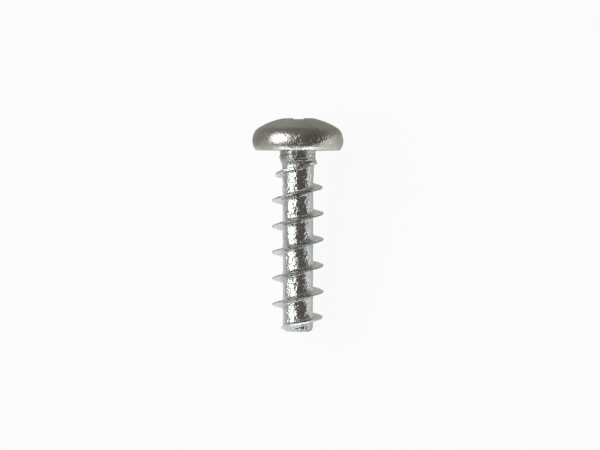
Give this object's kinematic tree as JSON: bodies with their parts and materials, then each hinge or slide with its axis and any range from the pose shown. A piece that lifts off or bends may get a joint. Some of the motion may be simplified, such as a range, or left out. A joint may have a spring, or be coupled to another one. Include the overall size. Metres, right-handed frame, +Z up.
{
  "type": "pan head screw",
  "caption": "Pan head screw with a cross recess, a coarse right-hand thread for plastics or wood and a blunt end.",
  "frame": {"origin": "centre of the bounding box's foot, on the surface that the screw lies on", "axes": "+Y along the lying screw from its end to its head, +Z up from the surface, +X to the right with the head away from the viewer"},
  "size_m": [0.009, 0.021, 0.0089],
  "materials": {
    "zinc_steel": "bright zinc plating over a pitted, slightly lumpy steel skin"
  },
  "bodies": {
    "root": {"screw": "zinc_steel"}
  },
  "joints": []
}
